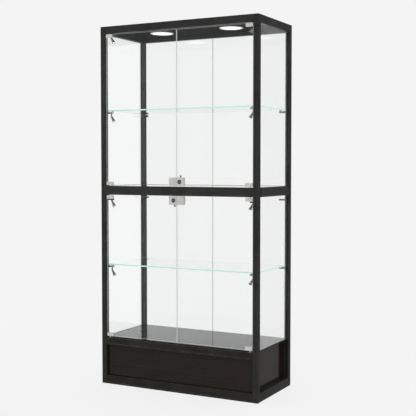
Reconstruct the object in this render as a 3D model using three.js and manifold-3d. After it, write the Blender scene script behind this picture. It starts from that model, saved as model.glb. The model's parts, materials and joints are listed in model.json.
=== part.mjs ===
// A free-standing display case: a grooved metal frame, glass all round, two pairs of hinged
// glass doors, three glass shelves, a closed base, and small lights inside.
// Millimetres. +X is right, +Y is the back, +Z is up. The origin is on the floor, at the middle.

import * as THREE from 'three';
import { mergeVertices } from 'three/addons/utils/BufferGeometryUtils.js';
import Module from 'manifold-3d';

const wasm = await Module();
wasm.setup();

// Whole case
const WIDTH = 800;
const DEPTH = 368;
const HEIGHT = 1655;
const CLEAR = 0.3;          // gap between pieces that touch

// Frame section
const POST = 25;
const POST_ROUNDING = 2.5;  // radius of the post's long corners
const GROOVE_HALF = 2;      // round groove down the middle of each outer face of a post
const GROOVE_DEEP = 1.6;
const LINE_HALF = 0.8;      // fine V line along each rail
const LINE_DEEP = 0.9;
const LINE_UP = 7;          // from the rail's underside to its line

// Heights of the frame's levels
const BOTTOM_RAIL_TOP = 39;
const BASE_RAIL_LOW = 183;
const BASE_RAIL_TOP = 217;
const DECK_THICK = 4;
const MID_RAIL_LOW = 883;
const MID_RAIL_TOP = 924;
const CAP_LOW = 1622;
const CEILING = 1636;

// Glass
const PANE = 5;
const PANE_INSET = 10;      // from the frame's outer face to the middle of a fixed pane
const SLOT_DEEP = 8;        // slot in a post that holds a pane's edge
const SHELF = 6;
const SHELF_FRONT = 157;    // half depth of the loose shelves
const SHELF_HALF_WIDTH = 378;
const UPPER_SHELF_LOW = 1268;
const LOWER_SHELF_LOW = 554.5;
const LEDGE = 8;            // inner ledge of the mid rails, under the middle shelf

// Support arms on the posts
const ARM_REACH = 24;       // past the post's inner face
const ARM_ROOT = 11;        // how far the arm runs into the post
const ARM_TALL = 7;
const ARM_DEEP = 11.5;
const PAD_TALL = 3;
const PAD_RADIUS = 4;
const PAD_INSET = 1;        // from the arm's end to the pad
const MIDDLE_ARM_LOW = 858;
const TONGUE_REACH = 13.5;  // from the post's inner face to the tongue, sideways
const TONGUE_SETBACK = 9;   // and front to back
const TONGUE_RADIUS = 3;
const TONGUE_THICK = 2.4;
const MERGE = 1;            // how far joined shapes reach into each other

// Doors
const DOOR_PLANE = -175.5;  // middle of the door glass
const DOOR_SIDE_GAP = 3;
const DOOR_MEETING_GAP = 1; // from the middle line to each door's edge
const PIVOT_X = 360;
const UPPER_DOOR = { low: 930, high: 1617 };
const LOWER_DOOR = { low: 226.5, high: 878 };

// Pivot clips
const CLIP_LONG = 34;
const CLIP_TALL = 16;
const CLIP_SKIN = 2.5;
const CLIP_WEB = 2.2;       // the part that closes the U, beyond the glass edge
const PIN_RADIUS = 3;
const PIN_LONG = 13.5;
const PIN_HOLE_RADIUS = 3.5;
const PIN_HOLE_DEEP = 12;

// Locks
const LOCK_WIDE = 36.7;
const LOCK_TALL = 38.5;
const LOCK_FRONT_SKIN = 3.2;
const LOCK_BACK_SKIN = 4.1;
const LOCK_WEB = 3.2;
const LOCK_AXIS_IN = 15;    // from the middle line to the cylinder's axis
const LOCK_AXIS_UP = 15.3;  // from the glass edge to the cylinder's axis
const NOTCH_WIDE = 28.3;
const NOTCH_TALL = 31;
const BARREL_RADIUS = 9.4;
const BORE_RADIUS = 9.7;
const BARREL_PROUD = 1.6;
const KEY_SLOT = { wide: 1.8, tall: 9, deep: 4 };
const CAM_LONG = 30;
const CAM_THICK = 3;
const CAM_HALF_WIDE = 4.5;
const CAM_HUB_RADIUS = 8;
const CAM_GAP = 0.4;
const KEEPER_THICK = 2;
const KEEPER_TALL = 18;
const KEEPER_WEB = 4;
const KEEPER_END = 5;       // from the middle line to the keeper's lip

// Lights
const DOWNLIGHT_X = 180;
const DOWNLIGHT_Y = 5;
const DOWNLIGHT_RADIUS = 54;
const DOWNLIGHT_BODY_RADIUS = 48;
const DOWNLIGHT_RECESS = 13;
const DOWNLIGHT_RIM = 3;    // how far the rim stands below the ceiling
const DOWNLIGHT_RIM_WIDE = 7;
const INLET_X = 330;
const INLET_Z = 1638;
const INLET_RADIUS = 6;
const INLET_LONG = 16;
const INLET_WALL = 4;       // thickness of the inlet's inner end
const SOCKET_RADIUS = 3.4;
const CONTACT_RADIUS = 1.2;

const ROUND = 20;           // sides of the small round shapes
const SIDES = { left: -1, right: 1 };

const COLOURS = {
  frame: { color: 0x33322f, roughness: 0.42, metalness: 0.6 },
  panel: { color: 0x2b2622, roughness: 0.35, metalness: 0.0 },
  deck: { color: 0x1c1d1c, roughness: 0.08, metalness: 0.0 },
  glass: { color: 0xe8f6f0, roughness: 0.02, metalness: 0.0, transparent: true, opacity: 0.25 },
  chrome: { color: 0xc4c6c8, roughness: 0.2, metalness: 1.0 },
  barrel: { color: 0x3a3a3c, roughness: 0.3, metalness: 0.9 },
  lamp: { color: 0xfafafa, roughness: 0.5, metalness: 0.0, emissive: 0xffffff },
  spot: { color: 0x9a9a9c, roughness: 0.3, metalness: 0.8 },
  socket: { color: 0x161616, roughness: 0.5, metalness: 0.0 },
};

const MATERIALS = Object.fromEntries(
  Object.entries(COLOURS).map(([name, look]) => [name, new THREE.MeshStandardMaterial(look)])
);

const group = new THREE.Group();

// ---------- helpers ----------

function addMesh(name, geometry, look) {
  const mesh = new THREE.Mesh(geometry, MATERIALS[look].clone());
  mesh.name = name;
  group.add(mesh);
  return mesh;
}

function block(x, y, z) {
  const low = [Math.min(...x), Math.min(...y), Math.min(...z)];
  const high = [Math.max(...x), Math.max(...y), Math.max(...z)];
  const geometry = new THREE.BoxGeometry(high[0] - low[0], high[1] - low[1], high[2] - low[2]);
  return geometry.translate((low[0] + high[0]) / 2, (low[1] + high[1]) / 2, (low[2] + high[2]) / 2);
}

function extruded(points, length) {
  const shape = new THREE.Shape(points.map(([a, b]) => new THREE.Vector2(a, b)));
  return new THREE.ExtrudeGeometry(shape, { depth: length, bevelEnabled: false });
}

// A straight bar along X whose outline is given as [y, z] points.
function barAlongX(outline, x0, x1) {
  const geometry = extruded(outline, x1 - x0);
  const turn = new THREE.Matrix4().makeBasis(
    new THREE.Vector3(0, 1, 0), new THREE.Vector3(0, 0, 1), new THREE.Vector3(1, 0, 0));
  return geometry.applyMatrix4(turn).translate(x0, 0, 0);
}

// A plate whose outline is given as [x, z] points, from y0 (nearer the front) to y1.
function plateAcrossY(outline, y0, y1) {
  const geometry = extruded(outline, y1 - y0);
  const turn = new THREE.Matrix4().makeBasis(
    new THREE.Vector3(1, 0, 0), new THREE.Vector3(0, 0, 1), new THREE.Vector3(0, -1, 0));
  return geometry.applyMatrix4(turn).translate(0, y1, 0);
}

function rodAlongY(radius, x, z, y0, y1, sides = ROUND) {
  return new THREE.CylinderGeometry(radius, radius, y1 - y0, sides)
    .translate(x, (y0 + y1) / 2, z);
}

function rodAlongZ(radius, x, y, z0, z1, sides = ROUND) {
  return new THREE.CylinderGeometry(radius, radius, z1 - z0, sides)
    .rotateX(Math.PI / 2)
    .translate(x, y, (z0 + z1) / 2);
}

// Points on an elliptical arc, both ends included.
function arc(centre, radii, from, to, steps = 4) {
  return Array.from({ length: steps + 1 }, (_, step) => {
    const angle = from + (to - from) * step / steps;
    return [centre[0] + radii[0] * Math.cos(angle), centre[1] + radii[1] * Math.sin(angle)];
  });
}

function toSolid(geometry) {
  const bare = geometry.clone();
  bare.deleteAttribute('normal');
  bare.deleteAttribute('uv');
  const merged = mergeVertices(bare, 1e-4);
  return new wasm.Manifold(new wasm.Mesh({
    numProp: 3,
    vertProperties: new Float32Array(merged.attributes.position.array),
    triVerts: new Uint32Array(merged.index.array),
  }));
}

function toGeometry(solid) {
  const { vertProperties, triVerts } = solid.getMesh();
  const geometry = new THREE.BufferGeometry();
  geometry.setAttribute('position', new THREE.BufferAttribute(new Float32Array(vertProperties), 3));
  geometry.setIndex(new THREE.BufferAttribute(new Uint32Array(triVerts), 1));
  geometry.computeVertexNormals();
  return geometry;
}

function carved(base, { joined = [], cut = [] }) {
  let solid = toSolid(base);
  for (const piece of joined) solid = solid.add(toSolid(piece));
  for (const piece of cut) solid = solid.subtract(toSolid(piece));
  return toGeometry(solid);
}

// ---------- frame ----------

// One post's section is mirrored to all four corners. u runs inwards from the case's side face
// and v inwards from its front or back face.
function postOutline(sideX, sideY) {
  const slotLow = PANE_INSET - PANE / 2 - CLEAR;
  const slotHigh = PANE_INSET + PANE / 2 + CLEAR;
  const slotEnd = POST - SLOT_DEEP;
  const middle = POST / 2;
  const turn = Math.PI / 2;
  const rounding = [POST_ROUNDING, POST_ROUNDING];
  const inner = POST - POST_ROUNDING;
  const backSlot = sideY > 0
    ? [[POST, slotLow], [slotEnd, slotLow], [slotEnd, slotHigh], [POST, slotHigh]]
    : [];
  const section = [
    ...arc(rounding, rounding, 2 * turn, 3 * turn),
    ...arc([middle, 0], [GROOVE_HALF, GROOVE_DEEP], 2 * turn, 0),
    ...arc([inner, POST_ROUNDING], rounding, 3 * turn, 4 * turn),
    ...backSlot,
    [POST, POST],
    [slotHigh, POST], [slotHigh, slotEnd], [slotLow, slotEnd], [slotLow, POST],
    ...arc([POST_ROUNDING, inner], rounding, turn, 2 * turn),
    ...arc([0, middle], [GROOVE_DEEP, GROOVE_HALF], turn, -turn),
  ];
  return section.map(([u, v]) => [sideX * (WIDTH / 2 - u), sideY * (DEPTH / 2 - v)]);
}

const INNER_X = WIDTH / 2 - POST;     // inner faces of the posts and rails
const INNER_Y = DEPTH / 2 - POST;
const ARM_END = INNER_X - ARM_REACH;
const ARM_Y = INNER_Y - TONGUE_SETBACK;
const UNDER_SHELF = CLEAR + PAD_TALL + ARM_TALL;
// low is the arm's underside, and drop is from there to the spotlight's pivot.
const ARM_LEVELS = {
  top: { low: CAP_LOW - CLEAR - ARM_TALL, drop: 7, pad: false, frontOnly: true },
  upper: { low: UPPER_SHELF_LOW - UNDER_SHELF, drop: 12, pad: true },
  middle: { low: MIDDLE_ARM_LOW, drop: 4.5, pad: false },
  lower: { low: LOWER_SHELF_LOW - UNDER_SHELF, drop: 14, pad: true },
};
const SPOT_X = INNER_X - TONGUE_REACH;

function pivotHeight(level) {
  return ARM_LEVELS[level].low - ARM_LEVELS[level].drop;
}

// A short arm beside the post's inner corner; on the front posts it also has a hanging tongue.
function armPieces(sideX, sideY, level) {
  const { low, pad } = ARM_LEVELS[level];
  const pieces = [block(
    [sideX * ARM_END, sideX * (INNER_X + ARM_ROOT)],
    [sideY * (INNER_Y - ARM_DEEP), sideY * (INNER_Y + MERGE)],
    [low, low + ARM_TALL])];
  if (pad) {
    const padX = sideX * (ARM_END + PAD_RADIUS + PAD_INSET);
    const padTop = low + ARM_TALL + PAD_TALL;
    pieces.push(rodAlongZ(PAD_RADIUS, padX, sideY * ARM_Y, low + ARM_TALL - MERGE, padTop));
  }
  if (sideY < 0) pieces.push(tongue(sideX, level));
  return pieces;
}

// A flat strip with a round lower end, centred on the spotlight's pivot.
function tongue(sideX, level) {
  const centre = sideX * SPOT_X;
  const pivot = pivotHeight(level);
  const root = ARM_LEVELS[level].low + MERGE;
  const outline = [
    [centre + TONGUE_RADIUS, root],
    ...arc([centre, pivot], [TONGUE_RADIUS, TONGUE_RADIUS], 0, -Math.PI, ROUND / 2),
    [centre - TONGUE_RADIUS, root],
  ];
  return plateAcrossY(outline, -ARM_Y - TONGUE_THICK / 2, -ARM_Y + TONGUE_THICK / 2);
}

function tongueHole(sideX, level) {
  return rodAlongY(
    SPOT_PIN_HOLE_RADIUS, sideX * SPOT_X, pivotHeight(level),
    -ARM_Y - TONGUE_THICK, -ARM_Y + TONGUE_THICK);
}

function addPosts() {
  for (const [sideName, sideX] of Object.entries(SIDES)) {
    for (const [endName, sideY] of Object.entries({ front: -1, back: 1 })) {
      const levels = Object.keys(ARM_LEVELS)
        .filter((level) => sideY < 0 || !ARM_LEVELS[level].frontOnly);
      const geometry = carved(extruded(postOutline(sideX, sideY), HEIGHT), {
        joined: levels.flatMap((level) => armPieces(sideX, sideY, level)),
        cut: sideY < 0 ? levels.map((level) => tongueHole(sideX, level)) : [],
      });
      addMesh(`post_${endName}_${sideName}`, geometry, 'frame');
    }
  }
}

// A rail's section as [in, z] points, where in runs inwards from the frame's outer face.
function railOutline(low, high, ledge) {
  const line = low + LINE_UP;
  const outline = [
    [0, low], [0, line - LINE_HALF], [LINE_DEEP, line], [0, line + LINE_HALF],
    [0, high], [POST, high],
  ];
  if (!ledge) return [...outline, [POST, low]];
  const ledgeTop = high - CLEAR - SHELF - CLEAR;
  const ledgeLow = ledgeTop - LEDGE;
  return [...outline, [POST, ledgeTop], [POST + ledge, ledgeTop], [POST + ledge, ledgeLow],
    [POST, ledgeLow], [POST, low]];
}

function railAlongX(low, high, sideY, ledge = 0) {
  const outline = railOutline(low, high, ledge)
    .map(([inwards, z]) => [sideY * (DEPTH / 2 - inwards), z]);
  return barAlongX(outline, -INNER_X + CLEAR, INNER_X - CLEAR);
}

function railAlongY(low, high, sideX, ledge = 0) {
  const outline = railOutline(low, high, ledge)
    .map(([inwards, z]) => [sideX * (WIDTH / 2 - inwards), z]);
  const length = INNER_Y - CLEAR - (ledge ? ledge + CLEAR : 0);
  return plateAcrossY(outline, -length, length);
}

// Holes for a pair of doors' pins. deeper is the way into the material, +1 up or -1 down.
function pinHoles(mouth, deeper) {
  return Object.values(SIDES).map((sideX) => rodAlongZ(
    PIN_HOLE_RADIUS, sideX * PIVOT_X, DOOR_PLANE,
    Math.min(mouth - deeper * MERGE, mouth + deeper * PIN_HOLE_DEEP),
    Math.max(mouth - deeper * MERGE, mouth + deeper * PIN_HOLE_DEEP)));
}

function addRails() {
  const midFront = carved(railAlongX(MID_RAIL_LOW, MID_RAIL_TOP, -1, LEDGE), {
    cut: [...pinHoles(MID_RAIL_LOW, 1), ...pinHoles(MID_RAIL_TOP, -1)],
  });
  addMesh('mid_rail_front', midFront, 'frame');
  addMesh('mid_rail_back', railAlongX(MID_RAIL_LOW, MID_RAIL_TOP, 1, LEDGE), 'frame');
  const baseFront = carved(railAlongX(BASE_RAIL_LOW, BASE_RAIL_TOP, -1), {
    cut: pinHoles(BASE_RAIL_TOP, -1),
  });
  addMesh('base_rail_front', baseFront, 'frame');
  addMesh('bottom_rail_front', railAlongX(0, BOTTOM_RAIL_TOP, -1), 'frame');
  for (const [name, sideX] of Object.entries(SIDES)) {
    addMesh(`mid_rail_${name}`, railAlongY(MID_RAIL_LOW, MID_RAIL_TOP, sideX, LEDGE), 'frame');
    addMesh(`bottom_rail_${name}`, railAlongY(0, BOTTOM_RAIL_TOP, sideX), 'frame');
  }
}

function cornerBlocks(low, high) {
  const blocks = [];
  for (const sideX of [-1, 1]) {
    for (const sideY of [-1, 1]) {
      blocks.push(block(
        [sideX * (INNER_X - CLEAR), sideX * WIDTH],
        [sideY * (INNER_Y - CLEAR), sideY * DEPTH],
        [low - MERGE, high + MERGE]));
    }
  }
  return blocks;
}

function addTopCap() {
  const outer = block([-WIDTH / 2, WIDTH / 2], [-DEPTH / 2, DEPTH / 2], [CAP_LOW, HEIGHT]);
  const hollow = block([-INNER_X, INNER_X], [-INNER_Y, INNER_Y], [CAP_LOW - MERGE, CEILING]);
  const lampRecesses = [-1, 1].map((sideX) => rodAlongZ(
    DOWNLIGHT_BODY_RADIUS + 1, sideX * DOWNLIGHT_X, DOWNLIGHT_Y,
    CEILING - MERGE, CEILING + DOWNLIGHT_RECESS, 2 * ROUND));
  const inletHole = rodAlongY(
    INLET_RADIUS + CLEAR, INLET_X, INLET_Z, DEPTH / 2 - INLET_LONG - MERGE, DEPTH / 2 + MERGE);
  const corners = cornerBlocks(CAP_LOW, HEIGHT);
  addMesh('top_cap', carved(outer, {
    cut: [hollow, ...corners, ...lampRecesses, ...pinHoles(CAP_LOW, 1), inletHole],
  }), 'frame');
}

// ---------- base ----------

const BOARD = 6;            // front and side boards
const FRONT_BOARD_INSET = 14;
const BOARD_LAP = 15;       // how far the side boards reach down behind the bottom rails
const BACK_BOARD = { front: DEPTH / 2 - 16, back: DEPTH / 2 - 4 };
const DECK_OVERHANG = 11;   // past the back posts' inner face
const DECK_GAP = 2;         // between the deck and the doors
const DECK_LEDGE = 1.5;     // past the outer face of the side panes, which stand on the deck

function addDeck() {
  const half = WIDTH / 2 - PANE_INSET + PANE / 2 + DECK_LEDGE;
  const low = BASE_RAIL_TOP + CLEAR;
  const high = BASE_RAIL_TOP + DECK_THICK;
  const slab = block(
    [-half, half], [DOOR_PLANE + PANE / 2 + DECK_GAP, INNER_Y + DECK_OVERHANG], [low, high]);
  addMesh('base_deck', carved(slab, { cut: cornerBlocks(low, high) }), 'deck');
}

// Each side has a board against the posts' inner faces, with a rail behind it under the deck.
function addBaseSides() {
  const outer = INNER_X - CLEAR;
  const inner = outer - BOARD;
  const ends = [-INNER_Y + CLEAR, BACK_BOARD.front - CLEAR];
  for (const [name, sideX] of Object.entries(SIDES)) {
    const board = block(
      [sideX * inner, sideX * outer], ends, [BOTTOM_RAIL_TOP - BOARD_LAP, BASE_RAIL_TOP]);
    addMesh(`base_panel_${name}`, board, 'panel');
    const railOuter = inner - CLEAR;
    const rail = block(
      [sideX * (railOuter - POST), sideX * railOuter], ends, [BASE_RAIL_LOW, BASE_RAIL_TOP]);
    addMesh(`base_rail_${name}`, rail, 'frame');
  }
}

function addBaseFrontAndBack() {
  const half = INNER_X - CLEAR;
  const face = -DEPTH / 2 + FRONT_BOARD_INSET;
  const front = block(
    [-half, half], [face, face + BOARD], [BOTTOM_RAIL_TOP + CLEAR, BASE_RAIL_LOW - CLEAR]);
  addMesh('base_panel_front', front, 'panel');
  const back = block([-half, half], [BACK_BOARD.front, BACK_BOARD.back], [0, BASE_RAIL_TOP]);
  addMesh('base_panel_back', back, 'panel');
}

// ---------- fixed glass ----------

// Each section's height, and how much higher its side panes start: the lower ones stand on the deck.
const SECTIONS = {
  upper: { low: MID_RAIL_TOP + CLEAR, high: CAP_LOW - CLEAR, sideStep: 0 },
  lower: { low: BASE_RAIL_TOP + CLEAR, high: MID_RAIL_LOW - CLEAR, sideStep: DECK_THICK },
};

function addFixedGlass() {
  const sideHalf = INNER_Y + SLOT_DEEP - CLEAR;
  const backEnd = INNER_X + SLOT_DEEP - CLEAR;
  const sideMiddle = WIDTH / 2 - PANE_INSET;
  const backMiddle = DEPTH / 2 - PANE_INSET;
  for (const [section, { low, high, sideStep }] of Object.entries(SECTIONS)) {
    for (const [name, sideX] of Object.entries(SIDES)) {
      const sidePane = block(
        [sideX * (sideMiddle - PANE / 2), sideX * (sideMiddle + PANE / 2)],
        [-sideHalf, sideHalf], [low + sideStep, high]);
      addMesh(`side_glass_${section}_${name}`, sidePane, 'glass');
      const backPane = block(
        [sideX * DOOR_MEETING_GAP, sideX * backEnd],
        [backMiddle - PANE / 2, backMiddle + PANE / 2], [low, high]);
      addMesh(`back_glass_${section}_${name}`, backPane, 'glass');
    }
  }
}

function addShelves() {
  for (const [name, low] of Object.entries({ upper: UPPER_SHELF_LOW, lower: LOWER_SHELF_LOW })) {
    const plate = block(
      [-SHELF_HALF_WIDTH, SHELF_HALF_WIDTH], [-SHELF_FRONT, SHELF_FRONT], [low, low + SHELF]);
    addMesh(`shelf_${name}`, plate, 'glass');
  }
  const high = MID_RAIL_TOP - CLEAR;
  const middle = block(
    [-INNER_X + CLEAR, INNER_X - CLEAR], [-INNER_Y + CLEAR, INNER_Y - CLEAR], [high - SHELF, high]);
  addMesh('shelf_middle', middle, 'glass');
}

// ---------- doors ----------

const DOORS = {
  upper: { ...UPPER_DOOR, lockEdge: UPPER_DOOR.low, into: 1, lockSide: 1 },
  lower: { ...LOWER_DOOR, lockEdge: LOWER_DOOR.high, into: -1, lockSide: -1 },
};
const DOOR_OUTER = INNER_X - DOOR_SIDE_GAP;
const GLASS_FRONT = DOOR_PLANE - PANE / 2;
const GLASS_BACK = DOOR_PLANE + PANE / 2;

function doorGlass(door, sideX) {
  const pane = block(
    [sideX * DOOR_MEETING_GAP, sideX * DOOR_OUTER], [GLASS_FRONT, GLASS_BACK], [door.low, door.high]);
  if (sideX !== door.lockSide) return pane;
  const notch = block(
    [0, sideX * (DOOR_MEETING_GAP + NOTCH_WIDE)], [GLASS_FRONT - MERGE, GLASS_BACK + MERGE],
    [door.lockEdge - door.into, door.lockEdge + door.into * NOTCH_TALL]);
  return carved(pane, { cut: [notch] });
}

// A U-shaped clip over the door's corner with its pin. into is +1 where the door lies above the
// clip's web and -1 where it lies below.
function pivotClip(edge, into, sideX) {
  const ends = [sideX * DOOR_OUTER, sideX * (DOOR_OUTER - CLIP_LONG)];
  const webInner = edge - into * CLEAR;
  const webOuter = webInner - into * CLIP_WEB;
  const outer = block(
    ends, [GLASS_FRONT - CLEAR - CLIP_SKIN, GLASS_BACK + CLEAR + CLIP_SKIN],
    [webOuter, webOuter + into * CLIP_TALL]);
  const slot = block(
    [sideX * (DOOR_OUTER + MERGE), sideX * (DOOR_OUTER - CLIP_LONG - MERGE)],
    [GLASS_FRONT - CLEAR, GLASS_BACK + CLEAR], [webInner, webInner + into * CLIP_TALL]);
  const pinEnd = webOuter - into * (PIN_LONG - CLIP_WEB);
  const pinRoot = webOuter + into * MERGE;
  const pin = rodAlongZ(
    PIN_RADIUS, sideX * PIVOT_X, DOOR_PLANE, Math.min(pinEnd, pinRoot), Math.max(pinEnd, pinRoot));
  return carved(outer, { joined: [pin], cut: [slot] });
}

// The clamp that holds a lock or a catch on the door's inner corner.
function clampPieces(door, sideX) {
  const web = door.lockEdge - door.into * CLEAR;
  const foot = web - door.into * LOCK_WEB;
  const heights = [foot, foot + door.into * LOCK_TALL];
  const ends = [sideX * (DOOR_MEETING_GAP + CLEAR), sideX * (DOOR_MEETING_GAP + CLEAR + LOCK_WIDE)];
  const outer = block(
    ends, [GLASS_FRONT - CLEAR - LOCK_FRONT_SKIN, GLASS_BACK + CLEAR + LOCK_BACK_SKIN], heights);
  const slot = block(
    [0, sideX * 2 * LOCK_WIDE], [GLASS_FRONT - CLEAR, GLASS_BACK + CLEAR],
    [web, web + door.into * LOCK_TALL]);
  return { outer, slot, ends, web };
}

function lockAxisHeight(door) {
  return door.lockEdge + door.into * LOCK_AXIS_UP;
}

function lockBody(door) {
  const { outer, slot, ends, web } = clampPieces(door, door.lockSide);
  const core = block(
    [ends[0], door.lockSide * (DOOR_MEETING_GAP + NOTCH_WIDE - CLEAR)],
    [GLASS_FRONT - MERGE, GLASS_BACK + MERGE],
    [web - door.into * MERGE, door.lockEdge + door.into * (NOTCH_TALL - CLEAR)]);
  const clamp = carved(outer, { cut: [slot] });
  const bore = rodAlongY(
    BORE_RADIUS, door.lockSide * LOCK_AXIS_IN, lockAxisHeight(door),
    GLASS_FRONT - 2 * LOCK_FRONT_SKIN, GLASS_BACK + 2 * LOCK_BACK_SKIN);
  return carved(clamp, { joined: [core], cut: [bore] });
}

const CAM_FRONT = GLASS_BACK + CLEAR + LOCK_BACK_SKIN + CAM_GAP;

// The turning barrel with its key slot, and the cam behind it that points along the door at rest.
function lockCylinder(door) {
  const x = door.lockSide * LOCK_AXIS_IN;
  const z = lockAxisHeight(door);
  const face = GLASS_FRONT - CLEAR - LOCK_FRONT_SKIN - BARREL_PROUD;
  const barrel = rodAlongY(BARREL_RADIUS, x, z, face, CAM_FRONT + MERGE);
  const hub = rodAlongY(CAM_HUB_RADIUS, x, z, CAM_FRONT, CAM_FRONT + CAM_THICK);
  const lever = block(
    [x - CAM_HALF_WIDE, x + CAM_HALF_WIDE], [CAM_FRONT, CAM_FRONT + CAM_THICK],
    [z, z + door.into * CAM_LONG]);
  const keySlot = block(
    [x - KEY_SLOT.wide / 2, x + KEY_SLOT.wide / 2], [face - MERGE, face + KEY_SLOT.deep],
    [z - KEY_SLOT.tall / 2, z + KEY_SLOT.tall / 2]);
  return carved(barrel, { joined: [hub, lever], cut: [keySlot] });
}

// The plate on the other door, with the hooked keeper that the cam turns into.
function catchPlate(door) {
  const sideX = -door.lockSide;
  const { outer, slot, ends } = clampPieces(door, sideX);
  const z = lockAxisHeight(door);
  const heights = [z - KEEPER_TALL / 2, z + KEEPER_TALL / 2];
  const lipFront = CAM_FRONT + CAM_THICK + CAM_GAP;
  const lipBack = lipFront + KEEPER_THICK;
  const lip = block([ends[1], sideX * KEEPER_END], [lipFront, lipBack], heights);
  const web = block(
    [ends[1], ends[1] - sideX * KEEPER_WEB], [CAM_FRONT - CAM_GAP - MERGE, lipBack], heights);
  return carved(outer, { joined: [lip, web], cut: [slot] });
}

function addDoors() {
  for (const [section, door] of Object.entries(DOORS)) {
    for (const [name, sideX] of Object.entries(SIDES)) {
      addMesh(`door_${section}_${name}`, doorGlass(door, sideX), 'glass');
      addMesh(`pivot_${section}_${name}_top`, pivotClip(door.high, -1, sideX), 'chrome');
      addMesh(`pivot_${section}_${name}_bottom`, pivotClip(door.low, 1, sideX), 'chrome');
    }
    addMesh(`lock_body_${section}`, lockBody(door), 'chrome');
    addMesh(`lock_cylinder_${section}`, lockCylinder(door), 'barrel');
    addMesh(`catch_plate_${section}`, catchPlate(door), 'chrome');
  }
}

// ---------- lights ----------

const SPOT_PIN_RADIUS = 1.2;
const SPOT_PIN_HOLE_RADIUS = 1.6;
const SPOT_TILT = Math.PI / 6;       // from straight down, inwards
const SPOT_NECK = 4;                 // from the pivot to the top of the bell
const SPOT_MOUTH = 28;               // from the pivot to the mouth
const SPOT_LENS_INSET = 3;
const SPOT_RADIUS = { neck: 4, shoulder: 4.9, waist: 5.8, mouth: 8, lens: 6.8 };
const EAR_INNER = 1.6;
const EAR_OUTER = 3.2;
const EAR_HALF_WIDE = 3;

// The head hangs straight down from its pivot at the origin; its mouth is the widest end.
function spotHead() {
  const lens = SPOT_MOUTH - SPOT_LENS_INSET;
  const profile = [
    [0, lens], [SPOT_RADIUS.lens, lens], [SPOT_RADIUS.lens, SPOT_MOUTH],
    [SPOT_RADIUS.mouth, SPOT_MOUTH], [SPOT_RADIUS.mouth, lens], [SPOT_RADIUS.waist, SPOT_MOUTH / 2],
    [SPOT_RADIUS.shoulder, SPOT_NECK + 2], [SPOT_RADIUS.neck, SPOT_NECK], [0, SPOT_NECK]];
  const bell = new THREE.LatheGeometry(
    profile.map(([radius, along]) => new THREE.Vector2(radius, -along)), ROUND);
  bell.rotateX(Math.PI / 2);
  const ears = [-1, 1].map((side) => block(
    [-EAR_HALF_WIDE, EAR_HALF_WIDE], [side * EAR_INNER, side * EAR_OUTER],
    [-SPOT_NECK - MERGE, EAR_HALF_WIDE]));
  return carved(bell, { joined: [...ears, rodAlongY(SPOT_PIN_RADIUS, 0, 0, -EAR_OUTER, EAR_OUTER)] });
}

function addSpots() {
  for (const [name, sideX] of Object.entries(SIDES)) {
    for (const level of Object.keys(ARM_LEVELS)) {
      const head = addMesh(`spot_${level}_${name}`, spotHead(), 'spot');
      head.position.set(sideX * SPOT_X, -ARM_Y, pivotHeight(level));
      head.rotation.y = sideX * SPOT_TILT;
    }
  }
}

// A shallow can with a bevelled rim that laps under the ceiling.
function addDownlights() {
  const top = CEILING + DOWNLIGHT_RECESS - MERGE;
  const flange = CEILING - CLEAR;
  const low = flange - DOWNLIGHT_RIM;
  const step = flange - DOWNLIGHT_RIM / 2;
  const rim = DOWNLIGHT_RADIUS - DOWNLIGHT_RIM_WIDE;
  const profile = [
    [0, step], [rim, step], [rim + MERGE, low], [DOWNLIGHT_RADIUS - 2 * MERGE, low],
    [DOWNLIGHT_RADIUS, step], [DOWNLIGHT_RADIUS, flange], [DOWNLIGHT_BODY_RADIUS, flange],
    [DOWNLIGHT_BODY_RADIUS, top], [0, top]];
  for (const [name, sideX] of Object.entries(SIDES)) {
    const disc = new THREE.LatheGeometry(
      profile.map(([radius, z]) => new THREE.Vector2(radius, z)), 2 * ROUND);
    disc.rotateX(Math.PI / 2);
    addMesh(`downlight_${name}`, disc, 'lamp').position.set(sideX * DOWNLIGHT_X, DOWNLIGHT_Y, 0);
  }
}

function addPowerInlet() {
  const back = DEPTH / 2;
  const socketEnd = back - INLET_LONG + INLET_WALL;
  const body = rodAlongY(INLET_RADIUS, INLET_X, INLET_Z, back - INLET_LONG, back);
  const socket = rodAlongY(SOCKET_RADIUS, INLET_X, INLET_Z, socketEnd, back + MERGE);
  const contact = rodAlongY(CONTACT_RADIUS, INLET_X, INLET_Z, socketEnd - MERGE, back - 2 * MERGE);
  const hollow = carved(body, { cut: [socket] });
  addMesh('power_inlet', carved(hollow, { joined: [contact] }), 'socket');
}

addPosts();
addRails();
addTopCap();
addDeck();
addBaseSides();
addBaseFrontAndBack();
addFixedGlass();
addShelves();
addDoors();
addSpots();
addDownlights();
addPowerInlet();

export default group;
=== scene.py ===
import json
import math

import bmesh
import bpy
from mathutils import Matrix, Vector


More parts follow.
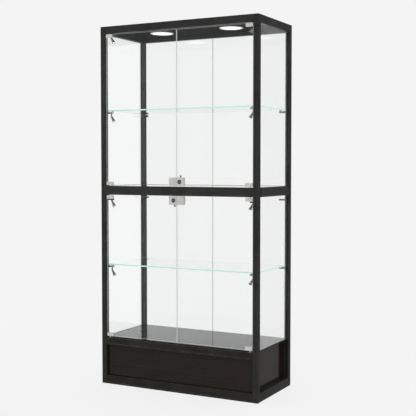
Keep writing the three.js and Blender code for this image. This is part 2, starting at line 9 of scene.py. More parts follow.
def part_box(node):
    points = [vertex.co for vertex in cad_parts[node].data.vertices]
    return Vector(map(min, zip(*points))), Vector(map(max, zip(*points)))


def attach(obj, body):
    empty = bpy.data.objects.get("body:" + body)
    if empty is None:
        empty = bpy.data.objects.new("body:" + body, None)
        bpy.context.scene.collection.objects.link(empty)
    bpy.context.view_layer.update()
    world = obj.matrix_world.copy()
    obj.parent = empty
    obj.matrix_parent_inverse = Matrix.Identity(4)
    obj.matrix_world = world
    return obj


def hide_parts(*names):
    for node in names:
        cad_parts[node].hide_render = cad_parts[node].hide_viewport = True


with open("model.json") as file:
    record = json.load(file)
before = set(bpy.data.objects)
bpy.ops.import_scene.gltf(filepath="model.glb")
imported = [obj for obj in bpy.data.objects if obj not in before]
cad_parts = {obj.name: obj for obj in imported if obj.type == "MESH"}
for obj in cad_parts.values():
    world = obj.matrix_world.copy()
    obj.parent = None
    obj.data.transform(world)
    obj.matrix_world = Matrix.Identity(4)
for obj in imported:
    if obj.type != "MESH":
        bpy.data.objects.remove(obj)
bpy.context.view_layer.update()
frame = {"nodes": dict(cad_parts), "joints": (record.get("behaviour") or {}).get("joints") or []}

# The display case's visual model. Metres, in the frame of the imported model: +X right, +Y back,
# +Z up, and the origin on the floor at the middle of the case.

MM = 0.001
NODES = frame["nodes"]
JOINTS = {joint["name"]: joint for joint in frame["joints"]}
SIDES = {"left": -1, "right": 1}
SECTIONS = ("upper", "lower")
SPOT_LEVELS = ("top", "upper", "middle", "lower")
LOCK_SIDE = {"upper": "right", "lower": "left"}

WHITE = (0.905, 0.905, 0.905)   # the studio's background


# ---------- node helpers ----------

def add_node(tree, kind, **inputs):
    node = tree.nodes.new(kind)
    for name, value in inputs.items():
        node.inputs[name.replace("_", " ")].default_value = value
    return node


def join(tree, source, output, target, socket):
    tree.links.new(source.outputs[output], target.inputs[socket])


def new_material(name, **sockets):
    """A material with one Principled node, and its uniform values set on the node's own sockets."""
    material = bpy.data.materials.new(name)
    material.use_nodes = True
    tree = material.node_tree
    shader = tree.nodes["Principled BSDF"]
    for socket, value in sockets.items():
        shader.inputs[socket.replace("_", " ")].default_value = value
    return material, tree, shader


def place(tree, stretch=(1, 1, 1)):
    """Object coordinates, stretched so that a pattern runs along the part."""
    where = add_node(tree, "ShaderNodeTexCoord")
    mapping = add_node(tree, "ShaderNodeMapping", Scale=stretch)
    join(tree, where, "Object", mapping, "Vector")
    return mapping


def noise(tree, mapping, scale, detail=3.0, roughness=0.55):
    texture = add_node(tree, "ShaderNodeTexNoise", Scale=scale, Detail=detail, Roughness=roughness)
    join(tree, mapping, "Vector", texture, "Vector")
    return texture


def ramp(tree, source, output, stops):
    """A colour ramp over stops of (position, colour)."""
    node = add_node(tree, "ShaderNodeValToRGB")
    elements = node.color_ramp.elements
    while len(elements) < len(stops):
        elements.new(0.5)
    for element, (position, colour) in zip(elements, stops):
        element.position = position
        element.color = (*colour, 1.0) if not isinstance(colour, float) else (colour,) * 3 + (1.0,)
    join(tree, source, output, node, "Fac")
    return node


def bump(tree, shader, source, output, strength, distance):
    node = add_node(tree, "ShaderNodeBump", Strength=strength, Distance=distance)
    join(tree, source, output, node, "Height")
    join(tree, node, "Normal", shader, "Normal")


def shade(colour, factor):
    return tuple(channel * factor for channel in colour)


# ---------- materials ----------

def coated_metal(name, colour, roughness, stretch, contrast=0.25):
    """Satin coated metal: cloudy tone, faint drawing lines along the section and a fine grain."""
    material, tree, shader = new_material(name, IOR=1.45, Specular_IOR_Level=FRAME_SHEEN)
    cloud = noise(tree, place(tree), 9.0, 4.0)
    tone = ramp(tree, cloud, "Fac", [(0.3, shade(colour, 1 - contrast)), (0.7, shade(colour, 1 + contrast))])
    join(tree, tone, "Color", shader, "Base Color")
    lines = noise(tree, place(tree, stretch), 1.0, 2.0, 0.7)
    gloss = ramp(tree, lines, "Fac", [(0.3, roughness - 0.07), (0.7, roughness + 0.09)])
    join(tree, gloss, "Color", shader, "Roughness")
    grain = noise(tree, place(tree), 1600.0, 1.0)
    bump(tree, shader, grain, "Fac", 0.12, 0.00006)
    return material


def worn_edge(name, colour, bare, roughness):
    """The coating on rounded edges: rubbed a little lighter in patches."""
    material, tree, shader = new_material(name, IOR=1.45, Specular_IOR_Level=FRAME_SHEEN)
    rub = noise(tree, place(tree), 60.0, 5.0, 0.65)
    tone = ramp(tree, rub, "Fac", [(0.45, colour), (0.75, bare)])
    join(tree, tone, "Color", shader, "Base Color")
    gloss = ramp(tree, rub, "Fac", [(0.4, roughness), (0.8, roughness - 0.12)])
    join(tree, gloss, "Color", shader, "Roughness")
    return material


def laminate(name, colour):
    """Smooth black-brown board with a faint grain along its length."""
    material, tree, shader = new_material(name, IOR=1.45)
    grain = noise(tree, place(tree, (3.0, 3.0, 160.0)), 1.0, 6.0, 0.6)
    tone = ramp(tree, grain, "Fac", [(0.3, shade(colour, 0.8)), (0.7, shade(colour, 1.25))])
    join(tree, tone, "Color", shader, "Base Color")
    smear = noise(tree, place(tree), 7.0, 5.0)
    gloss = ramp(tree, smear, "Fac", [(0.3, 0.13), (0.7, 0.20)])
    join(tree, gloss, "Color", shader, "Roughness")
    bump(tree, shader, grain, "Fac", 0.03, 0.0001)
    return material


def gloss_board(name, colour):
    """High-gloss deck with the faintest wipe marks."""
    material, tree, shader = new_material(name, IOR=1.33)
    cloud = noise(tree, place(tree), 5.0, 4.0)
    tone = ramp(tree, cloud, "Fac", [(0.3, shade(colour, 0.85)), (0.7, shade(colour, 1.15))])
    join(tree, tone, "Color", shader, "Base Color")
    wipes = noise(tree, place(tree, (6.0, 30.0, 6.0)), 1.0, 5.0, 0.7)
    gloss = ramp(tree, wipes, "Fac", [(0.35, 0.05), (0.75, 0.12)])
    join(tree, gloss, "Color", shader, "Roughness")
    return material


def clear_glass(name, tint):
    """Float glass that lets lamps through to what it shuts in."""
    material, tree, shader = new_material(
        name, Base_Color=(*tint, 1), IOR=1.5, Transmission_Weight=1.0, Roughness=0.0)
    ripple = noise(tree, place(tree), 2.2, 1.0)
    bump(tree, shader, ripple, "Fac", 0.02, 0.001)
    path = add_node(tree, "ShaderNodeLightPath")
    open_way = add_node(tree, "ShaderNodeBsdfTransparent", Color=(0.96, 0.985, 0.975, 1))
    mix = add_node(tree, "ShaderNodeMixShader")
    join(tree, path, "Is Shadow Ray", mix, 0)
    join(tree, shader, "BSDF", mix, 1)
    join(tree, open_way, "BSDF", mix, 2)
    join(tree, mix, "Shader", tree.nodes["Material Output"], "Surface")
    return material


def glass_edge_painted_light(name, colour, glow):
    """A polished glass edge, with the light that runs through the plate painted on as a glow in the edge's
    own tint.
    """
    material, tree, shader = new_material(name, Roughness=0.12, IOR=1.5, Emission_Strength=glow)
    bands = noise(tree, place(tree, (18.0, 18.0, 500.0)), 1.0, 3.0, 0.6)
    tone = ramp(tree, bands, "Fac", [(0.3, shade(colour, 0.84)), (0.7, colour)])
    join(tree, tone, "Color", shader, "Base Color")
    join(tree, tone, "Color", shader, "Emission Color")
    return material


def plated(name, colour, roughness, scratch=0.05, metallic=1.0):
    """Plated or satin metal with hairline marks and a cloudy polish."""
    material, tree, shader = new_material(name, Metallic=metallic)
    cloud = noise(tree, place(tree), 60.0, 4.0)
    tone = ramp(tree, cloud, "Fac", [(0.3, shade(colour, 0.92)), (0.7, shade(colour, 1.05))])
    join(tree, tone, "Color", shader, "Base Color")
    hairs = noise(tree, place(tree, (900.0, 900.0, 60.0)), 1.0, 3.0, 0.7)
    gloss = ramp(tree, hairs, "Fac", [(0.35, roughness), (0.7, roughness + scratch)])
    join(tree, gloss, "Color", shader, "Roughness")
    bump(tree, shader, hairs, "Fac", 0.06, 0.00003)
    return material


def moulded(name, colour, roughness, sheen=0.5):
    """Moulded plastic or a fine-textured paint."""
    material, tree, shader = new_material(name, IOR=1.46, Specular_IOR_Level=sheen)
    cloud = noise(tree, place(tree), 80.0, 4.0)
    tone = ramp(tree, cloud, "Fac", [(0.3, shade(colour, 0.9)), (0.7, shade(colour, 1.06))])
    join(tree, tone, "Color", shader, "Base Color")
    gloss = ramp(tree, cloud, "Fac", [(0.3, roughness - 0.05), (0.7, roughness + 0.05)])
    join(tree, gloss, "Color", shader, "Roughness")
    grain = noise(tree, place(tree), 2200.0, 1.0)
    bump(tree, shader, grain, "Fac", 0.15, 0.00005)
    return material


def glowing(name, colour, strength):
    """A lit diffuser with the faint mottling of frosted plastic."""
    material, tree, shader = new_material(
        name, Base_Color=(0.9, 0.9, 0.9, 1), Roughness=0.5, Emission_Strength=strength)
    frost = noise(tree, place(tree), 300.0, 2.0)
    tone = ramp(tree, frost, "Fac", [(0.2, shade(colour, 0.93)), (0.8, colour)])
    join(tree, tone, "Color", shader, "Emission Color")
    return material


FRAME_COLOUR = (0.0275, 0.0268, 0.0255)
BASE_COLOUR = (0.0215, 0.0185, 0.0150)
FRAME_BARE = (0.16, 0.135, 0.14)
FRAME_ROUGH = 0.42
FRAME_SHEEN = 0.25
ALONG_X = (2.0, 700.0, 700.0)
ALONG_Y = (700.0, 2.0, 700.0)
ALONG_Z = (700.0, 700.0, 2.0)
GLASS_TINT = (0.988, 0.994, 0.990)
EDGE_GREEN = (0.50, 0.80, 0.68)

M = {
    "metal_x": coated_metal("metal_x", FRAME_COLOUR, FRAME_ROUGH, ALONG_X),
    "metal_y": coated_metal("metal_y", FRAME_COLOUR, FRAME_ROUGH, ALONG_Y),
    "metal_z": coated_metal("metal_z", FRAME_COLOUR, FRAME_ROUGH, ALONG_Z),
    "metal_base": coated_metal("metal_base", BASE_COLOUR, FRAME_ROUGH, ALONG_X),
    "edge": worn_edge("metal_edge", FRAME_COLOUR, FRAME_BARE, FRAME_ROUGH),
    "panel": laminate("panel_board", (0.0165, 0.0108, 0.0078)),
    "panel_edge": worn_edge("panel_edge", (0.012, 0.010, 0.008), (0.03, 0.026, 0.02), 0.4),
    "deck": gloss_board("deck_gloss", (0.010, 0.011, 0.0105)),
    "pane": clear_glass("pane_glass", GLASS_TINT),
    "shelf": clear_glass("shelf_glass", GLASS_TINT),
    # The pane edges glow: painted light for what runs through the glass.
    "pane_edge": glass_edge_painted_light("pane_edge", (0.74, 0.81, 0.77), 0.16),
    # Side glass edges held in the frame's slots: the edge green darkened to 0.3 with no glow, a painted
    # shade.
    "slot_edge": glass_edge_painted_light("slot_edge", shade(EDGE_GREEN, 0.3), 0.0),
    # The shelf edges glow brighter still: painted light for what runs through the glass.
    "shelf_edge": glass_edge_painted_light("shelf_edge", (0.58, 0.88, 0.76), 0.35),
    "chrome": plated("fitting_chrome", (0.82, 0.82, 0.80), 0.3, metallic=0.4),
    "lining": moulded("ceiling_lining", (0.007, 0.007, 0.0068), 0.8, 0.02),
    "steel": plated("screw_steel", (0.42, 0.42, 0.43), 0.25, 0.1),
    "barrel": plated("barrel_nickel", (0.10, 0.10, 0.105), 0.28, 0.1),
    "arm": plated("arm_satin", (0.66, 0.66, 0.67), 0.34, 0.1),
    "spot": plated("spot_satin", (0.40, 0.40, 0.41), 0.34, 0.1, 0.8),
    "lamp": glowing("lamp_diffuser", (1.0, 0.995, 0.98), 1.05),
    "led": glowing("spot_lens", (1.0, 0.98, 0.93), 1.2),
    "white": moulded("bezel_white", (0.82, 0.82, 0.81), 0.4),
    "black": moulded("socket_black", (0.012, 0.012, 0.012), 0.5),
    "silicone": moulded("pad_silicone", (0.55, 0.57, 0.56), 0.35),
}


# ---------- mesh helpers ----------

WELD_REACH = 0.02 * MM


def in_mm(profile):
    """A profile's points, given in millimetres, in metres."""
    return [(radius * MM, height * MM) for radius, height in profile]


def add_piece(name, mesh, material, body, stands_for=None):
    """Adds a piece that rides on body, in place of the CAD node that it stands for, if any."""
    piece = bpy.data.objects.new(name, mesh)
    bpy.context.scene.collection.objects.link(piece)
    mesh.materials.append(material)
    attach(piece, body)
    if stands_for is not None:
        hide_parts(stands_for)


def smooth(mesh, angle=math.radians(35)):
    """Smooth shading, with the edges sharper than angle kept crisp."""
    for polygon in mesh.polygons:
        polygon.use_smooth = True
    mesh.set_sharp_from_angle(angle=angle)


def lathe(profile, segments=48, turn=Matrix.Identity(4)):
    """A closed mesh from (radius, height) points turned about Z; both ends are on the axis."""
    built = bmesh.new()
    rings = []
    for radius, height in profile:
        if radius == 0:
            rings.append([built.verts.new((0, 0, height))])
            continue
        ring = []
        for step in range(segments):
            angle = 2 * math.pi * step / segments
            ring.append(built.verts.new((radius * math.cos(angle), radius * math.sin(angle), height)))
        rings.append(ring)
    for low, high in zip(rings, rings[1:]):
        for step in range(segments):
            after = (step + 1) % segments
            corners = [low[step % len(low)], low[after % len(low)],
                       high[after % len(high)], high[step % len(high)]]
            built.faces.new(list(dict.fromkeys(corners)))
    bmesh.ops.recalc_face_normals(built, faces=built.faces)
    built.transform(turn)
    mesh = bpy.data.meshes.new("lathe")
    built.to_mesh(mesh)
    built.free()
    smooth(mesh)
    return mesh


def rounded_box(low, high, radius, segments=3):
    """A box from corner low to corner high with rounded edges."""
    built = bmesh.new()
    bmesh.ops.create_cube(built, size=1.0)
    size = Vector(high) - Vector(low)
    middle = (Vector(high) + Vector(low)) / 2
    built.transform(Matrix.Translation(middle) @ Matrix.Diagonal((*size, 1.0)))
    bmesh.ops.bevel(built, geom=built.edges, offset=radius, segments=segments, profile=0.5, affect="EDGES")
    mesh = bpy.data.meshes.new("box")
    built.to_mesh(mesh)
    built.free()
    smooth(mesh)
    return mesh


def merged(meshes):
    """One mesh from several, which keeps them as separate shells."""
    built = bmesh.new()
    for mesh in meshes:
        built.from_mesh(mesh)
        bpy.data.meshes.remove(mesh)
    mesh = bpy.data.meshes.new("merged")
    built.to_mesh(mesh)
    built.free()
    smooth(mesh)
    return mesh


def cut(mesh, tool):
    """mesh with tool's shape taken away."""
    scene = bpy.context.scene
    base = bpy.data.objects.new("cut_base", mesh)
    knife = bpy.data.objects.new("cut_tool", tool)
    for item in (base, knife):
        scene.collection.objects.link(item)
    modifier = base.modifiers.new("cut", "BOOLEAN")
    modifier.object = knife
    modifier.solver = "EXACT"
    bpy.context.view_layer.update()
    graph = bpy.context.evaluated_depsgraph_get()
    result = bpy.data.meshes.new_from_object(base.evaluated_get(graph), depsgraph=graph)
    for item in (base, knife):
        bpy.data.objects.remove(item)
    smooth(result)
    return result


def dress(node, material, edge=None, width=0.5 * MM, segments=2):
    """Gives a CAD node its material and rounds its edges, in a material of their own if one is given."""
    item = NODES[node]
    item.data.materials.clear()
    item.data.materials.append(material)
    for polygon in item.data.polygons:
        polygon.use_smooth = True
    weld = item.modifiers.new("weld", "WELD")
    weld.merge_threshold = WELD_REACH
    bevel = item.modifiers.new("round", "BEVEL")
    bevel.width = width
    bevel.segments = segments
    bevel.limit_method = "ANGLE"
    bevel.angle_limit = math.radians(40)
    bevel.use_clamp_overlap = True
    item.modifiers.new("normals", "WEIGHTED_NORMAL").keep_sharp = True
    if edge is not None:
        item.data.materials.append(edge)
        bevel.material = 1


# ---------- frame and base ----------

CAD_GAP = 0.3 * MM          # that the CAD solids keep to one another
BEZEL_DEEP = 3 * MM         # of a downlight, below the ceiling
LINING_GAP = 0.05 * MM      # from the ceiling to the lining
LINING_THICK = 0.3 * MM
LINING_LAP = 1 * MM         # of a bezel over the lining
LINING_CUT = 10 * MM        # half the height of the tool that cuts the holes


def dress_frame():
    for end in ("front", "back"):
        for side in SIDES:
            dress(f"post_{end}_{side}", M["metal_z"], M["edge"], 0.4 * MM)
    for name in ("top_cap", "mid_rail_front", "mid_rail_back"):
        dress(name, M["metal_x"], M["edge"])
    for name in ("base_rail_front", "bottom_rail_front"):
        dress(name, M["metal_base"], M["edge"])
    for side in SIDES:
        for level in ("mid", "base", "bottom"):
            dress(f"{level}_rail_{side}", M["metal_y"], M["edge"])


def add_ceiling():
    """A matt sheet over the ceiling, cut out for the downlights."""
    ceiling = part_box("downlight_left")[0].z + BEZEL_DEEP + CAD_GAP
    low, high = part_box("mid_rail_front")
    reach = abs(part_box("base_panel_left")[0].y)
    bottom, top = ceiling - LINING_GAP - LINING_THICK, ceiling - LINING_GAP
    sheet = rounded_box((low.x, -reach, bottom), (high.x, reach, top), 0.1 * MM, 1)
    for side in SIDES:
        disc_low, disc_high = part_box(f"downlight_{side}")
        centre = (disc_low + disc_high) / 2
        radius = (disc_high.x - disc_low.x) / 2 - LINING_LAP
        hole = lathe([(0, -LINING_CUT), (radius, -LINING_CUT), (radius, LINING_CUT), (0, LINING_CUT)], 64)
        hole.transform(Matrix.Translation((centre.x, centre.y, ceiling)))
        sheet = cut(sheet, hole)
    add_piece("ceiling_lining", sheet, M["lining"], "case")


def dress_base():
    for where in ("front", "left", "right", "back"):
        dress(f"base_panel_{where}", M["panel"], M["panel_edge"], 0.6 * MM)
    dress("base_deck", M["deck"], M["panel_edge"], 0.4 * MM)


GLASS_ARRIS = 0.4 * MM
NOTCH_WIDE = 28.3 * MM
NOTCH_TALL = 31 * MM


def plate_mesh(outline, low, high, thin):
    """A plate with arrised rims. outline lies across axis thin, between low and high along it.
    Its large faces take material 0 and its narrow ones material 1."""
    flat = [axis for axis in range(3) if axis != thin]
    built = bmesh.new()
    corners = []
    for pair in outline:
        point = [0.0, 0.0, 0.0]
        point[flat[0]], point[flat[1]], point[thin] = *pair, low
        corners.append(built.verts.new(point))
    face = built.faces.new(corners)
    rise = Vector([high - low if axis == thin else 0.0 for axis in range(3)])
    grown = bmesh.ops.extrude_face_region(built, geom=[face])["geom"]
    moved = [item for item in grown if isinstance(item, bmesh.types.BMVert)]
    bmesh.ops.translate(built, verts=moved, vec=rise)
    bmesh.ops.recalc_face_normals(built, faces=built.faces)
    built.normal_update()
    rims = [edge for edge in built.edges
            if any(abs(side.normal[thin]) > 0.9 for side in edge.link_faces)
            and any(abs(side.normal[thin]) < 0.1 for side in edge.link_faces)]
    bmesh.ops.bevel(built, geom=rims, offset=GLASS_ARRIS, segments=2, profile=0.5, affect="EDGES")
    built.normal_update()
    for side in built.faces:
        side.material_index = 0 if abs(side.normal[thin]) > 0.99 else 1
    mesh = bpy.data.meshes.new("plate")
    built.to_mesh(mesh)
    built.free()
    return mesh


def glaze(node, body, clear, edge, outline=None):
    """Stands a polished plate in for a CAD pane, with its rim in a material of its own."""
    low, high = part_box(node)
    size = high - low
    thin = min(range(3), key=lambda axis: size[axis])
    first, second = [axis for axis in range(3) if axis != thin]
    if outline is None:
        outline = [(low[first], low[second]), (high[first], low[second]),
                   (high[first], high[second]), (low[first], high[second])]
    mesh = plate_mesh(outline, low[thin], high[thin], thin)
    add_piece(f"{node}_plate", mesh, clear, body, node)
    mesh.materials.append(edge)


def notched(section, side):
    """A lock door's outline as (x, z) points, with the notch that its lock sits in."""
    low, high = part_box(f"door_{section}_{side}")
    inner, outer = (low.x, high.x) if side == "right" else (high.x, low.x)
    near, far = (low.z, high.z) if section == "upper" else (high.z, low.z)
    across = math.copysign(NOTCH_WIDE, outer - inner)
    along = math.copysign(NOTCH_TALL, far - near)
    return [(inner + across, near), (outer, near), (outer, far), (inner, far),
            (inner, near + along), (inner + across, near + along)]


def dress_glass():
    for section in SECTIONS:
        for side in SIDES:
            glaze(f"side_glass_{section}_{side}", "case", M["pane"], M["slot_edge"])
            glaze(f"back_glass_{section}_{side}", "case", M["pane"], M["pane_edge"])
            node = f"door_{section}_{side}"
            outline = notched(section, side) if side == LOCK_SIDE[section] else None
            glaze(node, node, M["pane"], M["pane_edge"], outline)
    for level in ("upper", "middle", "lower"):
        glaze(f"shelf_{level}", "case", M["shelf"], M["shelf_edge"])


# ---------- door fittings ----------

def screw_mesh(radius, height):
    """A cap screw's head standing on z = 0, with a hexagonal socket."""
    sunk = -0.2 * MM
    head = lathe([(0, sunk), (radius, sunk), (radius, height * 0.75), (radius * 0.86, height),
                  (0, height)], 32)
    well = lathe([(0, height * 0.35), (radius * 0.5, height * 0.35), (radius * 0.5, height * 2),
                  (0, height * 2)], 6)
    return cut(head, well)


def facing(direction, at):
    """A transform that turns +Z to direction and moves to at."""
    return Matrix.Translation(at) @ Vector(direction).to_track_quat("Z", "Y").to_matrix().to_4x4()


def add_screw(name, body, at, radius=2.2 * MM, height=1.2 * MM):
    """A screw whose head faces the back of the case."""
    mesh = screw_mesh(radius, height)
    mesh.transform(facing((0, 1, 0), at))
    add_piece(name, mesh, M["steel"], body)


ARM_ENDS = {"top": ("front",), "upper": ("front", "back"), "middle": ("front", "back"),
            "lower": ("front", "back")}
ARM_SKIN = 0.4 * MM
ARM_TALL = 7 * MM
ARM_FAR = 24 * MM           # from the post's inner face to the arm's end
ARM_ROOT = 11 * MM          # from that face to the arm's root beside the post
ARM_BACK = 2.5 * MM         # from the pivot to the arm's inner side
ARM_DEEP = 12.5 * MM
TONGUE_HALF = (3.25 * MM, 1.45 * MM)
PAD_RADIUS = 4 * MM
PAD_TALL = 3 * MM
PAD_INSET = 1 * MM          # from the arm's end to the pad
MIDDLE_ARM_LOW = 858 * MM   # the underside of the arms below the mid rails


def add_arms():
    """Sleeves over the arms on the posts, the strips that the spotlights hang from, and the pads."""
    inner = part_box("mid_rail_front")[1].x
    for level, ends in ARM_ENDS.items():
        for side, sign in SIDES.items():
            pivot = Vector(JOINTS[f"spot_{level}_{side}_tilt"]["pos_m"])
            low = arm_underside(level)
            for end in ends:
                add_arm(f"arm_{level}_{end}_{side}", level, end, sign, inner, pivot, low)


def arm_underside(level):
    if level == "top":
        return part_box("top_cap")[0].z - CAD_GAP - ARM_TALL
    if level == "middle":
        return MIDDLE_ARM_LOW
    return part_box(f"shelf_{level}")[0].z - CAD_GAP - PAD_TALL - ARM_TALL


def add_arm(name, level, end, sign, inner, pivot, low):
    way = -1 if end == "front" else 1
    lit = end == "front" and level != "middle"
    near = way * (abs(pivot.y) - ARM_BACK - ARM_SKIN)
    far = near + way * (ARM_DEEP + 2 * ARM_SKIN)
    tip = sign * (inner - ARM_FAR - ARM_SKIN)
    root = sign * (inner + ARM_ROOT)
    sleeve = rounded_box(
        (min(tip, root), min(near, far), low - ARM_SKIN),
        (max(tip, root), max(near, far), low + ARM_TALL + ARM_SKIN), 0.9 * MM)
    shells = [sleeve]
    if end == "front":
        half_wide, half_thick = TONGUE_HALF
        shells.append(rounded_box(
            (pivot.x - half_wide, pivot.y - half_thick, pivot.z - half_wide),
            (pivot.x + half_wide, pivot.y + half_thick, low), 1.2 * MM))
    add_piece(name, merged(shells), M["arm"] if lit else M["metal_x"], "case")
    if level in ("upper", "lower"):
        add_pad(name.replace("arm", "pad"), sign * (inner - ARM_FAR + PAD_RADIUS + PAD_INSET),
                way * abs(pivot.y), low + ARM_TALL)


def add_pad(name, x, y, z):
    """A clear silicone ring round the stud that the shelf rests on."""
    inside, outside = PAD_RADIUS / MM + 0.05, PAD_RADIUS / MM + 0.9
    ring = ring_mesh(in_mm([
        (inside, 0.5), (outside, 0.5), (outside, 2.2), (outside - 0.6, 2.8), (inside, 2.8),
        (inside, 0.5)]), 40)
    ring.transform(Matrix.Translation((x, y, z)))
    add_piece(name, ring, M["silicone"], "case")


CLIP_SCREWS = (0, 15 * MM)  # from the hinge's axis, towards the middle of the door
CLIP_SCREW_IN = 7 * MM      # from the glass's upper or lower edge


def dress_clips():
    for section in SECTIONS:
        for side, sign in SIDES.items():
            body = f"door_{section}_{side}"
            hinge = JOINTS[f"{body}_swing"]["pos_m"][0]
            bottom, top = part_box(body)[0].z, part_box(body)[1].z
            for end, height in (("top", top - CLIP_SCREW_IN), ("bottom", bottom + CLIP_SCREW_IN)):
                node = f"pivot_{section}_{side}_{end}"
                dress(node, M["chrome"], width=0.7 * MM, segments=3)
                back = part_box(node)[1].y
                for index, reach in enumerate(CLIP_SCREWS):
                    add_screw(f"{node}_screw_{index}", body, Vector((hinge - sign * reach, back, height)))


LOCK_PLATE_DEEP = 4.4 * MM  # from the glass to the back of the plates behind it
LOCK_SCREW_IN = 6.5 * MM    # from a plate's outer end
RIB_COUNT = 6


def dress_locks():
    for section in SECTIONS:
        lock_side = LOCK_SIDE[section]
        other = "left" if lock_side == "right" else "right"
        lock_door = f"door_{section}_{lock_side}"
        add_rosette(section, lock_door)
        add_cylinder(section)
        add_ribs(section, f"door_{section}_{other}")
        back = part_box(lock_door)[1].y + LOCK_PLATE_DEEP
        for node, side in ((f"lock_body_{section}", lock_side), (f"catch_plate_{section}", other)):
            dress(node, M["chrome"], width=0.6 * MM, segments=3)
            low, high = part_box(node)
            x = (high.x if side == "right" else low.x) - SIDES[side] * LOCK_SCREW_IN
            for index, share in enumerate((0.25, 0.75)):
                at = Vector((x, back, low.z + (high.z - low.z) * share))
                add_screw(f"{node}_screw_{index}", f"door_{section}_{side}", at, 2.6 * MM)


def lock_axis(section):
    x, _, z = JOINTS[f"lock_{section}_turn"]["pos_m"]
    return x, z


def add_rosette(section, body):
    """The flat collar round a lock's barrel."""
    x, z = lock_axis(section)
    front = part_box(f"lock_body_{section}")[0].y
    profile = [(9.7, 0), (12.5, 0), (12.5, 0.4), (11.7, 0.9), (10.3, 0.9), (9.7, 0.5), (9.7, 0)]
    ring = ring_mesh(in_mm(profile), 64)
    ring.transform(facing((0, -1, 0), (x, front, z)))
    add_piece(f"lock_rosette_{section}", ring, M["chrome"], body)


def ring_mesh(profile, segments):
    """A closed ring from a closed outline of (radius, height) points, first repeated as last."""
    built = bmesh.new()
    count = len(profile) - 1
    rings = []
    for step in range(segments):
        angle = 2 * math.pi * step / segments
        rings.append([
            built.verts.new((radius * math.cos(angle), radius * math.sin(angle), height))
            for radius, height in profile[:count]])
    for step in range(segments):
        here, there = rings[step], rings[(step + 1) % segments]
        for corner in range(count):
            after = (corner + 1) % count
            built.faces.new((here[corner], here[after], there[after], there[corner]))
    bmesh.ops.recalc_face_normals(built, faces=built.faces)
    mesh = bpy.data.meshes.new("ring")
    built.to_mesh(mesh)
    built.free()
    smooth(mesh)
    return mesh


def add_cylinder(section):
    """The lock's barrel and key plug, smooth and round, with the cam behind. The numbers are
    millimetres."""
    x, z = lock_axis(section)
    node = f"lock_cylinder_{section}"
    body = f"lock_{section}"
    low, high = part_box(node)
    front, back = low.y, high.y
    length = (back - front) / MM - 3
    barrel = lathe(in_mm([(0, 0), (9.3, 0), (9.3, length - 0.8), (8.5, length), (6.4, length),
                          (6.0, length - 0.7), (0, length - 0.7)]), 64)
    barrel.transform(facing((0, -1, 0), (x, front + length * MM, z)))
    add_piece(f"lock_barrel_{section}", barrel, M["barrel"], body, node)
    plug = lathe(in_mm([(0, 0), (5.4, 0), (5.4, 1.0), (5.0, 1.4), (0, 1.4)]), 48)
    key_slot = rounded_box(Vector((-0.7, -4.2, 0.2)) * MM, Vector((0.7, 4.2, 4)) * MM, 0.2 * MM, 1)
    plug = cut(plug, key_slot)
    plug.transform(facing((0, -1, 0), (x, front + 0.9 * MM, z)))
    add_piece(f"lock_plug_{section}", plug, M["steel"], body)
    cam = rounded_box(Vector((-4.5, -2.9, -6)) * MM, Vector((4.5, -0.1, 29.6)) * MM, 1.2 * MM)
    into = 1 if section == "upper" else -1
    cam.transform(Matrix.Translation((x, back, z)) @ Matrix.Diagonal((1, 1, into, 1)))
    if into < 0:
        cam.flip_normals()
    add_piece(f"lock_cam_{section}", cam, M["steel"], body)


def add_ribs(section, body):
    """Upright grip ribs on the front of the catch plate."""
    low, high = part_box(f"catch_plate_{section}")
    half_wide, proud, sunk, margin = 0.8 * MM, 0.6 * MM, 0.4 * MM, 5 * MM
    pitch = (high.x - low.x) / (RIB_COUNT + 1)
    ribs = []
    for index in range(RIB_COUNT):
        x = low.x + pitch * (index + 1)
        ribs.append(rounded_box(
            (x - half_wide, low.y - proud, low.z + margin),
            (x + half_wide, low.y + sunk, high.z - margin), 0.4 * MM))
    add_piece(f"catch_ribs_{section}", merged(ribs), M["chrome"], body)


# ---------- lights ----------

SPOT_TILT = math.radians(30)


def spot_parts():
    """Shell, yoke and lens of a spotlight hanging straight down from its pivot at the origin.
    The numbers in these profiles are millimetres."""
    shell = [(0, -4.0), (3.4, -4.0), (3.9, -4.5)]
    for groove in range(3):
        top = -6.0 - 2.2 * groove
        radius = 4.5 + 0.35 * groove
        shell += [(radius, top + 0.6), (radius + 0.2, top), (radius + 0.25, top - 0.9),
                  (radius - 0.15, top - 1.1), (radius - 0.1, top - 1.5)]
    shell += [(5.7, -14.0), (6.3, -18.0), (7.3, -23.0), (7.85, -25.5), (7.9, -27.4), (7.6, -27.95),
              (7.1, -27.95), (6.85, -27.4), (6.5, -24.8), (5.9, -24.5), (0, -24.5)]
    body = lathe(in_mm(shell), 48)
    ears = [rounded_box(Vector((-3, side * 2.4 - 0.8, -5.4)) * MM, Vector((3, side * 2.4 + 0.8, 3)) * MM,
                        0.5 * MM) for side in (-1, 1)]
    pins = []
    for side in (-1, 1):
        pin = lathe(in_mm([(0, -0.4), (1.9, -0.4), (1.9, 0.3), (1.3, 0.7), (0, 0.7)]), 24)
        pin.transform(facing((0, side, 0), (0, side * 3.2 * MM, 0)))
        pins.append(pin)
    shaft = lathe(in_mm([(0, -3), (1.1, -3), (1.1, 3), (0, 3)]), 24)
    shaft.transform(facing((0, 1, 0), (0, 0, 0)))
    lens = lathe(in_mm([(0, -24.4), (6.2, -24.4), (6.2, -25), (5, -26), (3, -26.6), (0, -26.9)]), 40)
    return {"shell": body, "yoke": merged([*ears, *pins, shaft]), "lens": lens}


def add_spots():
    looks = {"shell": "spot", "yoke": "spot", "lens": "led"}
    for level in SPOT_LEVELS:
        for side, sign in SIDES.items():
            node = f"spot_{level}_{side}"
            pivot = JOINTS[f"{node}_tilt"]["pos_m"]
            turn = Matrix.Translation(pivot) @ Matrix.Rotation(sign * SPOT_TILT, 4, "Y")
            for part, mesh in spot_parts().items():
                mesh.transform(turn)
                stands_for = node if part == "shell" else None
                add_piece(f"{node}_{part}", mesh, M[looks[part]], node, stands_for)


